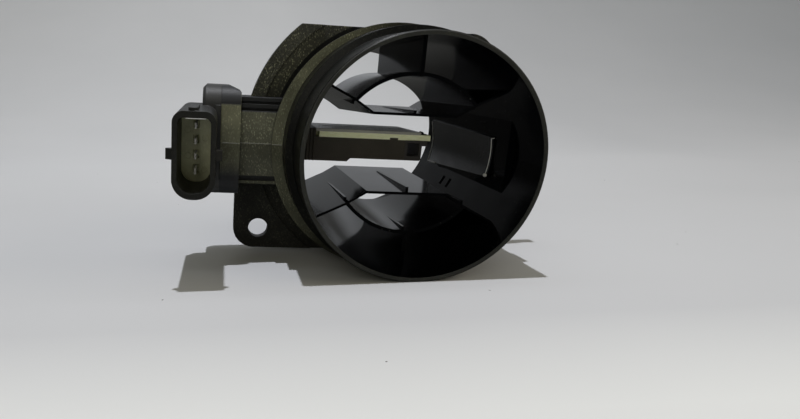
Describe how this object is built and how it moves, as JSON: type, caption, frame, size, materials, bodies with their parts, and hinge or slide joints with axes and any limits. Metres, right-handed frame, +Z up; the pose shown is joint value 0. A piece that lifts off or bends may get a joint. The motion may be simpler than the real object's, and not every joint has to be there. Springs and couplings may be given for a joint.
{
  "type": "mass air flow sensor",
  "caption": "Round moulded air duct with a bolt-on flange and a plug-in sensor that measures the engine's intake air flow.",
  "frame": {"origin": "on the duct's axis at the flange's back face", "axes": "+Y along the duct's axis from the open spigot towards the rear spigot, -X towards the connector, +Z up"},
  "size_m": [0.1368, 0.101, 0.0858],
  "materials": {
    "duct_housing": "moulded, lightly speckled",
    "mounting_flange": "moulded, lightly speckled",
    "sensor_neck": "moulded, lightly speckled",
    "flow_guide_upper": "smooth moulded",
    "flow_guide_lower": "smooth moulded",
    "module_housing": "moulded",
    "channel_tip": "moulded",
    "circuit_board": "fibre board, cut edge",
    "board_cover": "moulded",
    "hot_film_chip": "smooth",
    "air_temperature_sensor": "coated bead",
    "control_chip": "moulded",
    "capacitor_1": "smooth",
    "capacitor_2": "smooth",
    "chip_gel": "soft, clear",
    "terminal_carrier": "moulded",
    "terminal_1": "tin plated",
    "terminal_2": "tin plated",
    "terminal_3": "tin plated",
    "terminal_4": "tin plated",
    "module_seal": "smooth",
    "rear_seal": "smooth",
    "module_screw_upper": "plated",
    "module_screw_lower": "plated"
  },
  "bodies": {
    "root": {"duct_housing": "duct_housing", "mounting_flange": "mounting_flange", "sensor_neck": "sensor_neck", "flow_guide_upper": "flow_guide_upper", "flow_guide_lower": "flow_guide_lower", "module_housing": "module_housing", "channel_tip": "channel_tip", "circuit_board": "circuit_board", "board_cover": "board_cover", "hot_film_chip": "hot_film_chip", "air_temperature_sensor": "air_temperature_sensor", "control_chip": "control_chip", "capacitor_1": "capacitor_1", "capacitor_2": "capacitor_2", "chip_gel": "chip_gel", "terminal_carrier": "terminal_carrier", "terminal_1": "terminal_1", "terminal_2": "terminal_2", "terminal_3": "terminal_3", "terminal_4": "terminal_4", "module_seal": "module_seal", "rear_seal": "rear_seal", "module_screw_upper": "module_screw_upper", "module_screw_lower": "module_screw_lower"}
  },
  "joints": []
}
